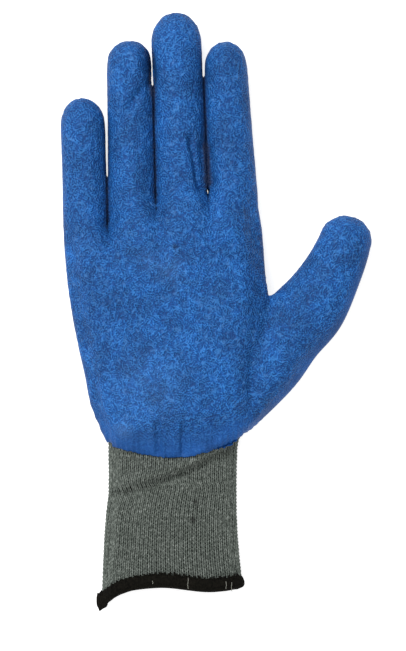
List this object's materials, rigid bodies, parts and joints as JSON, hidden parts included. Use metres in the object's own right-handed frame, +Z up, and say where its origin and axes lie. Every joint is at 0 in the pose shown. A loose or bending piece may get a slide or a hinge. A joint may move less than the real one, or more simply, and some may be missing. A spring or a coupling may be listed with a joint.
{
  "type": "coated work glove",
  "caption": "Seamless knit work glove lying palm up, crinkle latex film over palm, fingers and thumb, open wrist with an overlocked hem.",
  "frame": {"origin": "middle of the footprint, on the table that the back of the glove lies on", "axes": "+Z up out of the palm, +Y from cuff to fingertips, +X from the little finger to the thumb"},
  "size_m": [0.1362, 0.2632, 0.0252],
  "materials": {
    "knit": "heather grey seamless knit",
    "latex": "matt crinkled latex film",
    "overlock": "dense overlock thread"
  },
  "bodies": {
    "root": {"knit_hand": "knit", "knit_little_finger": "knit", "knit_ring_finger": "knit", "knit_middle_finger": "knit", "knit_index_finger": "knit", "knit_thumb": "knit", "knit_cuff": "knit", "latex_coating": "latex", "cuff_hem": "overlock"}
  },
  "joints": []
}
